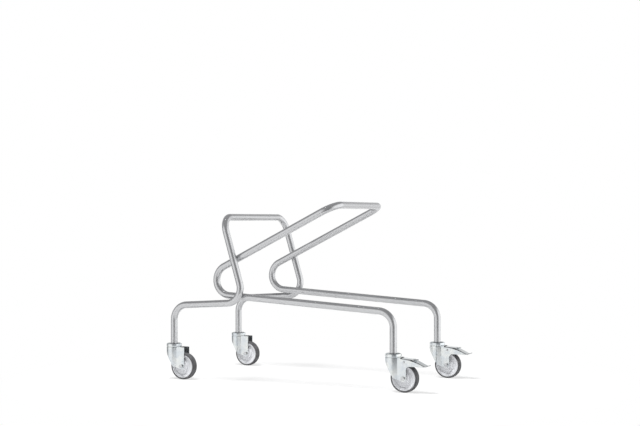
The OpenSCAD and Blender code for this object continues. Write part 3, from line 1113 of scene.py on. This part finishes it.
    def _crown(self) -> Workpiece:
        """Turns the crown with its rolled rim.

        Returns:
            The crown as a workpiece.
        """
        rim_in = self.head_radius - self.rim_thickness
        neck_out = self.head_radius - (self.rim_thickness - self.sheet) / 2
        neck_in = neck_out - self.sheet
        rim_low = self.top + self.rim_groove
        rim_top = self.top + self.rim_height
        roll = self.rim_thickness * self.rim_roll_share
        under = roll * self.rim_under_share
        corners = [
            (self.king_bore, self.crown_height, 0),
            (self.head_radius, self.crown_height, 0),
            (self.head_radius, self.top, self.shoulder),
            (neck_out, self.top, self.neck_fillet),
            (neck_out, rim_low, self.groove_fillet),
            (self.head_radius, rim_low, under),
            (self.head_radius, rim_top, roll),
            (rim_in, rim_top, roll),
            (rim_in, rim_low, under),
            (neck_in, rim_low, self.groove_fillet),
            (neck_in, self.top, self.neck_fillet),
            (self.king_bore, self.top, self.bore_rounding),
        ]
        points = [(r, 0, z) for r, z, _ in corners]
        return Workpiece.turned(points, [cut for _, _, cut in corners], Vector(), UP, self.turned_steps)


@dataclass
class Wheel:
    """A moulded hub with a rubber tyre."""

    axle: Vector
    radius: float
    width: float
    tyre_thickness: float = 6.5 * MM
    tyre_rounding: float = 0.4 * MM
    tread_crown: float = 60 * MM
    tread_shoulder: float = 4 * MM
    tread_steps: int = 3
    hub_length: float = 33 * MM
    bore_radius: float = 6.1 * MM
    bore_rounding: float = 0.3 * MM
    boss_wall: float = 6 * MM
    lip_width: float = 5 * MM
    ledge_width: float = 3 * MM
    ledge_depth: float = 3 * MM
    recess_width: float = 9 * MM
    recess_depth: float = 6 * MM
    recess_rounding: float = 1.2 * MM
    draft: float = 1.5 * MM
    lip_recess: float = 1 * MM
    rounding: float = 0.6 * MM
    turned_steps: int = 128

    @property
    def hub_radius(self) -> float:
        """Radius at which the tyre sits on the hub."""
        return self.radius - self.tyre_thickness

    def _turned(self, half: Sequence[tuple[float, float, float]]) -> Workpiece:
        """Turns a section about the axle.

        Args:
            half: the section's left half, as radius, distance along the axle and rounding.

        Returns:
            The turned piece.
        """
        corners = list(half) + [(r, -y, cut) for r, y, cut in reversed(half) if y > 0]
        points = [self.axle + Vector((r, y, 0)) for r, y, _ in corners]
        roundings = [cut for _, _, cut in corners]
        return Workpiece.turned(points, roundings, self.axle, ACROSS, self.turned_steps)

    def hub(self) -> Workpiece:
        """Turns the hub: boss, flat disc, recess, ledge and rim lip.

        Returns:
            The hub as a workpiece.
        """
        end = self.hub_length / 2
        face = self.width / 2 - self.lip_recess
        ledge_floor = self.width / 2 - self.ledge_depth
        recess_floor = self.width / 2 - self.recess_depth
        boss = self.bore_radius + self.boss_wall
        lip = self.hub_radius - self.lip_width
        ledge = lip - self.draft - self.ledge_width
        disc = ledge - self.recess_width - 2 * self.draft
        return self._turned([
            (self.bore_radius, end, self.bore_rounding),
            (boss - self.draft, end, self.rounding),
            (boss, end - self.draft, self.rounding),
            (boss + self.draft, face, self.rounding),
            (disc, face, self.rounding),
            (disc + self.draft, recess_floor, self.recess_rounding),
            (ledge - self.draft, recess_floor, self.recess_rounding),
            (ledge, ledge_floor, self.rounding),
            (lip - self.draft, ledge_floor, self.rounding),
            (lip, face, self.rounding),
            (self.hub_radius, face, 0),
        ])

    def tyre(self) -> Workpiece:
        """Turns the tyre, whose crowned tread has round shoulders.

        Returns:
            The tyre as a workpiece.
        """
        side = self.width / 2
        edge_angle = math.asin(side / self.tread_crown)
        cut = self.tread_shoulder / math.tan((QUARTER_TURN + edge_angle) / 2)
        crown = (self.radius - self.tread_crown, 0)
        edge, *tread = arc(crown, self.tread_crown, edge_angle, 0, self.tread_steps)
        return self._turned(
            [(self.hub_radius, side, self.tyre_rounding), (*edge, cut)] + [(*point, 0) for point in tread]
        )


@dataclass
class FootBrake:
    """The foot pedal with its ears and release tab, its pivot rivet and its shoe.

    The rivet's dome is given by shares of its head's radius and height.
    """

    fork_width: float
    sheet: float = 2.5 * MM
    width: float = 33 * MM
    bend_radius: float = 6 * MM
    pivot: Point2 = (46 * MM, 103 * MM)
    pivot_diameter: float = 6 * MM
    ear_radius: float = 7 * MM
    ear_inset: float = 0.1 * MM
    ear_steps: int = 12
    heel: Point2 = (36 * MM, 114.8 * MM)
    knee: Point2 = (73 * MM, 112.3 * MM)
    toe: Point2 = (119 * MM, 90.3 * MM)
    tip: Point2 = (130 * MM, 94.3 * MM)
    tab_setback: float = 3 * MM
    tab_length: float = 15 * MM
    tab_rise: float = 2.5 * MM
    tab_width: float = 15 * MM
    rivet_head: float = 1.2 * MM
    rivet_share: float = 1.35
    rivet_dome: tuple[Point2, Point2] = ((0.45, 0.9), (0.82, 0.55))
    rivet_steps: int = 48
    shoe_start: float = 57 * MM
    shoe_length: float = 14 * MM
    shoe_width: float = 25 * MM
    shoe_gap: float = 6 * MM
    shoe_rounding: float = 0.8 * MM
    shoe_segments: int = 3
    shoe_steps: int = 12
    edge_rounding: float = 0.5 * MM
    corner_rounding: float = 5 * MM
    corner_segments: int = 6

    def pedal(self) -> Workpiece:
        """Bends the pedal and adds its ears and tab.

        Returns:
            The pedal as a workpiece.
        """
        piece = self._strip(self._rounded_path(), self.width)
        fall = (self.toe[1] - self.knee[1]) / (self.toe[0] - self.knee[0])
        tab_start = (self.knee[0] + self.tab_setback, self.knee[1] + self.tab_setback * fall)
        tab_end = (tab_start[0] + self.tab_length, tab_start[1] + self.tab_rise)
        piece.absorb(self._strip((tab_start, tab_end), self.tab_width))
        ear_place = (self.width - self.sheet) / 2 - self.ear_inset
        for y in (-ear_place, ear_place):
            piece.absorb(self._ear(y))
        piece.thicken(self.sheet)
        piece.soften(self.edge_rounding)
        # Painted shade: every upright face, the strip's sides and the ears, gets the dark painted-shade
        # zinc, standing for the shaded gap above the wing.
        piece.mark(Plating.PAINTED_SHADE, is_upright)
        return piece

    def _rounded_path(self) -> list[Point2]:
        """Draws the pedal's middle line from the side.

        Returns:
            Its points from heel to tip, with the two bends.
        """
        guide = Workpiece()
        points = [Vector((x, 0, z)) for x, z in (self.heel, self.knee, self.toe, self.tip)]
        cuts = [0.0]
        for before, corner, after in zip(points, points[1:], points[2:]):
            angle = (corner - before).angle(after - corner)
            cuts.append(self.bend_radius * math.tan(angle / 2))
        guide.wire(points, cuts, closed=False)
        path = sorted((vert.co.x, vert.co.z) for vert in guide.bm.verts)
        guide.bm.free()
        return path

    def _strip(self, path: Sequence[Point2], width: float) -> Workpiece:
        """Bends a strip and rounds the two corners at its far end.

        Args:
            path: its middle line along X and Z.
            width: its width.

        Returns:
            The strip, without a thickness.
        """
        strip = Workpiece()
        strip.sweep([(Vector((x, -width / 2, z)), Vector((x, width / 2, z))) for x, z in path])
        reach = max(vert.co.x for vert in strip.bm.verts)
        corners = [vert for vert in strip.bm.verts if vert.co.x > reach - SLACK]
        strip.round_corners(corners, self.corner_rounding, self.corner_segments)
        return strip

    def _ear(self, y: float) -> Workpiece:
        """Cuts one ear, which hangs from the pedal and holds the pivot.

        Args:
            y: the place of its middle plane.

        Returns:
            The ear, without a thickness.
        """
        hanging = arc(self.pivot, self.ear_radius, HALF_TURN, FULL_TURN, self.ear_steps)
        points = [Vector((x, y, z)) for x, z in hanging]
        knee = Vector((self.knee[0], y, self.knee[1]))
        heel = Vector((self.heel[0], y, self.heel[1]))
        return Workpiece.plate(points + [knee, heel + (knee - heel).normalized() * self.sheet])

    def rivet(self) -> Workpiece:
        """Turns the pivot rivet with its two domed heads.

        Returns:
            The rivet as a workpiece.
        """
        middle = Vector((self.pivot[0], 0, self.pivot[1]))
        side = self.fork_width / 2
        shank = self.pivot_diameter / 2
        head = shank * self.rivet_share
        dome = [(head * out, side + self.rivet_head * up) for out, up in self.rivet_dome]
        half = [(0, side + self.rivet_head), *dome, (head, side), (shank, side), (shank, 0)]
        outline = [middle + Vector((r, y, 0)) for r, y in half]
        outline += [middle + Vector((r, -y, 0)) for r, y in reversed(half[:-1])]
        return Workpiece.turned(outline, (), middle, ACROSS, self.rivet_steps, closed=False)

    def shoe(self, axle: Vector, wheel_radius: float) -> Workpiece:
        """Moulds the shoe, hollowed to the tyre's curve.

        Args:
            axle: the wheel's middle.
            wheel_radius: the tyre's outer radius.

        Returns:
            The shoe as a workpiece.
        """
        hollow = wheel_radius + self.shoe_gap
        slope = math.atan2(self.knee[1] - self.heel[1], self.knee[0] - self.heel[0])
        half_sheet = self.sheet / 2 / math.cos(slope)
        stations = []
        for step in range(self.shoe_steps + 1):
            x = self.shoe_start + self.shoe_length * step / self.shoe_steps
            low = axle.z + math.sqrt(hollow**2 - (x - axle.x) ** 2)
            middle = self.heel[1] + (x - self.heel[0]) * math.tan(slope)
            stations.append((Vector((x, 0, low)), Vector((x, 0, middle - half_sheet))))
        piece = Workpiece()
        piece.sweep(stations)
        piece.thicken(self.shoe_width)
        piece.soften(self.shoe_rounding, self.shoe_segments)
        return piece


@dataclass
class Castor:
    """One swivel castor with all that rides on it."""

    corner: Corner
    axle_diameter: float = 8 * MM
    axle_chamfer: float = 0.8 * MM
    king_diameter: float = 10 * MM
    king_chamfer: float = 1 * MM
    nut_share: float = 0.8
    head_share: float = 0.65
    thread_end: float = 2 * MM
    washer_thickness: float = 2 * MM
    washer_share: float = 2.2
    washer_chamfer: float = 0.3 * MM
    cup_rounding: float = 0.6 * MM
    cup_steps: int = 96
    hexagons: HexFastener = field(default_factory=HexFastener)
    place: Vector = field(init=False)
    axle: Vector = field(init=False)
    wheel: Wheel = field(init=False)
    fork: Fork = field(init=False)

    def __post_init__(self) -> None:
        """Takes the castor's place and its wheel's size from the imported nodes."""
        leg = middle_of(self.corner.node("king_bolt"))
        self.place = Vector((leg.x, leg.y, 0))
        tyre = self.corner.node("tyre")
        span = span_of(tyre)
        self.axle = middle_of(tyre) - self.place
        self.wheel = Wheel(self.axle, span.z / 2, span.y)
        self.fork = Fork(self.corner.braked)

    def build(self) -> None:
        """Makes and dresses every piece of the castor."""
        swivel = self.corner.node("swivel")
        rolling = self.corner.node("wheel")
        self._deliver(self.fork.build(), "pressed_fork", ZINC_SHEET, swivel, "fork")
        self._deliver(self.wheel.hub(), "turned_hub", HUB_PLASTIC, rolling, "wheel_hub")
        self._deliver(self.wheel.tyre(), "crowned_tyre", TYRE_RUBBER, rolling, "tyre")
        self._deliver(self._axle_bolt(), "hex_axle_bolt", ZINC_FASTENER, swivel, "axle_bolt")
        self._deliver(self._axle_nut(), "hex_axle_nut", ZINC_FASTENER, swivel, "axle_nut")
        self._deliver(self._king_bolt(), "hex_king_bolt", ZINC_FASTENER, "frame", "king_bolt")
        self._deliver(self._top_cup(), "dished_top_cup", ZINC_SHEET, "frame", "top_cup")
        if self.corner.braked:
            self._build_brake(swivel)
        self._dress_hidden()

    def _build_brake(self, swivel: str) -> None:
        """Makes the foot brake.

        Args:
            swivel: the body that holds its pivot.
        """
        brake = FootBrake(self.fork.width)
        pedal = self.corner.node("pedal")
        self._deliver(brake.pedal(), "bent_brake_pedal", ZINC_SHEET, pedal, "brake_pedal")
        self._deliver(brake.rivet(), "domed_brake_pivot", ZINC_FASTENER, swivel, "brake_pivot")
        shoe = brake.shoe(self.axle, self.wheel.radius)
        self._deliver(shoe, "moulded_brake_shoe", SHOE_RUBBER, pedal, "brake_shoe")

    def _deliver(self, piece: Workpiece, name: str, finish: Finish, body: str, node: str) -> None:
        """Puts a piece at its corner and hands it over."""
        piece.move(self.place)
        piece.deliver(self.corner.node(name), finish, body, [self.corner.node(node)])

    def _axle_bolt(self) -> Workpiece:
        """Makes the axle bolt, its head on the right and its thread on the left.

        Returns:
            The bolt as a workpiece.
        """
        seat = self.axle - ACROSS * (self.fork.width / 2)
        length = self.fork.width + self.nut_share * self.axle_diameter + self.thread_end
        bolt = self.hexagons.head(self.axle_diameter, seat, -ACROSS, self.head_share * self.axle_diameter)
        bolt.absorb(self.hexagons.rod(self.axle_diameter, seat, ACROSS, length, self.axle_chamfer))
        return bolt

    def _axle_nut(self) -> Workpiece:
        """Makes the axle nut."""
        seat = self.axle + ACROSS * (self.fork.width / 2)
        return self.hexagons.head(self.axle_diameter, seat, ACROSS, self.nut_share * self.axle_diameter)

    def _king_bolt(self) -> Workpiece:
        """Makes the king bolt: head and washer under the crown, shank up into the tube.

        Returns:
            The bolt as a workpiece.
        """
        low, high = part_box(self.corner.node("king_bolt"))
        height = self.head_share * self.king_diameter
        seat = Vector((0, 0, low.z + height))
        washer = self.washer_share * self.king_diameter
        bolt = self.hexagons.head(self.king_diameter, seat, -UP, height)
        bolt.absorb(self.hexagons.rod(washer, seat, UP, self.washer_thickness, self.washer_chamfer))
        bolt.absorb(self.hexagons.rod(self.king_diameter, seat, UP, high.z - seat.z, self.king_chamfer))
        return bolt

    def _top_cup(self) -> Workpiece:
        """Turns the fixed cup that covers the ball ring.

        Returns:
            The cup as a workpiece.
        """
        low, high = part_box(self.corner.node("top_cup"))
        radius = (high.x - low.x) / 2
        bore = self.king_diameter / 2
        corners = [(bore, 0, low.z), (radius, 0, low.z), (radius, 0, high.z), (bore, 0, high.z)]
        return Workpiece.turned(corners, (0, 0, self.cup_rounding, 0), Vector(), UP, self.cup_steps)

    def _dress_hidden(self) -> None:
        """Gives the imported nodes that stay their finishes."""
        finishes = {
            "expander": EXPANDER_PLASTIC, "stem_nut": ZINC_FASTENER,
            "bearing_balls": POLISHED_STEEL, "axle_sleeve": ZINC_FASTENER,
        }
        for piece, finish in finishes.items():
            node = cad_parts[self.corner.node(piece)]
            node.data.materials.clear()
            node.data.materials.append(finish.material())
            LOG.info("%s keeps its packed shape: %s", node.name, finish.name)


# The studio


@dataclass(frozen=True)
class Wall:
    """A bright wall of the room, which fades out at its sides and its top.

    Sides are cosines of the angle to the wall's middle, and the top is a sine of the angle above level. Dull
    surfaces get the lit share of its light, and mirrors all of it.
    """

    middle: Direction
    sides: Levels
    top: Levels
    brightness: float
    lit: float

    def shine(self, graph: Graph, way: Value, glossy: Value) -> Value:
        """Works out how much of the wall shows in a direction.

        Args:
            graph: the world's nodes.
            way: the direction.
            glossy: 1 for a mirrored ray, else 0.

        Returns:
            The wall's share, from 0 to 1.
        """
        height = graph.add("ShaderNodeSeparateXYZ", {}, {"Vector": way}, "Z")
        inputs = {0: way, 1: self.middle}
        towards = graph.add("ShaderNodeVectorMath", {"operation": "DOT_PRODUCT"}, inputs, "Value")
        seen = self.brightness * (self.lit + (1 - self.lit) * glossy)
        return graph.steps(towards, self.sides) * (1 - graph.steps(height, self.top)) * seen


RIGHT_WALL = Wall((0.93, 0.36, 0), sides=(0.5, 0.85), top=(0.35, 0.8), brightness=1, lit=0.5)
LEFT_WALL = Wall((-0.56, -0.83, 0), sides=(0.68, 0.94), top=(0.35, 0.8), brightness=0.7, lit=0.5)
BACK_WALL = Wall((-0.4332, 0.9013, 0), sides=(0.45, 0.8), top=(0.15, 0.6), brightness=0.6, lit=0)


@dataclass
class Studio:
    """A white sweep with soft light, and the camera."""

    camera_place: Direction = (1.9651, -4.0920, 0.5823)
    camera_yaw: float = math.radians(25.67)
    lens: float = 70.0
    sensor: float = 36.0
    lift: float = 0.0088
    floor_radius: float = 1.15
    floor_sides: int = 96
    fade_start: float = 0.7
    shadow_share: float = 0.35
    floor_colour: Colour = (0.9, 0.9, 0.9, 1)
    mirrored_floor: Colour = (0.75, 0.75, 0.75, 1)
    key_place: Direction = (-0.45, -1.25, 4.4)
    key_aim: Direction = (0, 0, 0.3)
    key_size: float = 1.6
    key_power: float = 240
    walls: tuple[Wall, ...] = (RIGHT_WALL, LEFT_WALL, BACK_WALL)
    dark_room: Colour = (0.26, 0.26, 0.265, 1)
    bright_wall: Colour = (1.5, 1.5, 1.5, 1)

    def build(self) -> None:
        """Sets the stage."""
        bpy.context.scene.view_settings.view_transform = "Standard"
        self._camera()
        self._floor()
        self._world()
        self._key()

    def _camera(self) -> None:
        """Places the camera at the photograph's viewing angle."""
        data = bpy.data.cameras.new("camera")
        data.lens = self.lens
        data.sensor_width = self.sensor
        data.sensor_fit = "HORIZONTAL"
        data.shift_y = self.lift
        camera = bpy.data.objects.new("camera", data)
        camera.location = self.camera_place
        camera.rotation_euler = (QUARTER_TURN, 0, self.camera_yaw)
        bpy.context.scene.collection.objects.link(camera)
        bpy.context.scene.camera = camera

    def _key(self) -> None:
        """Hangs the key, a soft box that lights the trolley's middle and isn't mirrored in it."""
        data = bpy.data.lights.new("key", "AREA")
        data.shape = "SQUARE"
        data.size = self.key_size
        data.energy = self.key_power
        lamp = bpy.data.objects.new("key", data)
        lamp.location = self.key_place
        aim = Vector(self.key_aim) - lamp.location
        lamp.rotation_euler = aim.to_track_quat("-Z", "Y").to_euler()
        lamp.visible_glossy = False
        bpy.context.scene.collection.objects.link(lamp)

    def _floor(self) -> None:
        """Lays a white floor that keeps the trolley's shadow and fades out to the background."""
        mesh = bpy.data.meshes.new("floor")
        bm = bmesh.new()
        bmesh.ops.create_circle(bm, cap_ends=True, segments=self.floor_sides, radius=self.floor_radius)
        bm.to_mesh(mesh)
        bm.free()
        floor = bpy.data.objects.new("floor", mesh)
        bpy.context.scene.collection.objects.link(floor)
        material = bpy.data.materials.new("white_floor")
        material.use_nodes = True
        graph = Graph(material.node_tree)
        coordinates = graph.add("ShaderNodeTexCoord", output="Object")
        distance = graph.add("ShaderNodeVectorMath", {"operation": "LENGTH"}, {0: coordinates}, "Value")
        fade = graph.steps(distance, (self.fade_start, self.floor_radius))
        rays = graph.add("ShaderNodeLightPath", output="Is Camera Ray")
        white = (1 - self.shadow_share + self.shadow_share * fade) * rays
        colour = graph.mix(rays, self.mirrored_floor, self.floor_colour)
        paint = graph.add("ShaderNodeBsdfDiffuse", {}, {"Color": colour})
        glow = graph.add("ShaderNodeEmission", {}, {"Color": WHITE, "Strength": 1.0})
        surface = graph.add("ShaderNodeMixShader", {}, {0: white, 1: paint, 2: glow})
        graph.add("ShaderNodeOutputMaterial", {}, {"Surface": surface})
        mesh.materials.append(material)

    def _world(self) -> None:
        """Fills the room: white to the camera, and elsewhere dark with bright walls."""
        world = bpy.data.worlds.new("studio")
        bpy.context.scene.world = world
        world.use_nodes = True
        graph = Graph(world.node_tree)
        way = graph.add("ShaderNodeTexCoord", output="Generated")
        rays = graph.add("ShaderNodeLightPath", output="Is Camera Ray")
        glossy = rays.output("Is Glossy Ray")
        walls = reduce(Value.larger, [wall.shine(graph, way, glossy) for wall in self.walls])
        room = graph.mix(walls, self.dark_room, self.bright_wall)
        colour = graph.mix(rays, room, WHITE)
        sky = graph.add("ShaderNodeBackground", {}, {"Color": colour, "Strength": 1.0})
        graph.add("ShaderNodeOutputWorld", {}, {"Surface": sky})


def main() -> None:
    """Builds the trolley and its studio in order."""
    logging.basicConfig(level=logging.INFO, format="%(name)s: %(message)s")
    Studio().build()
    WeldedFrame().build()
    for corner in Corner:
        Castor(corner).build()


if __name__ == "__main__":
    main()
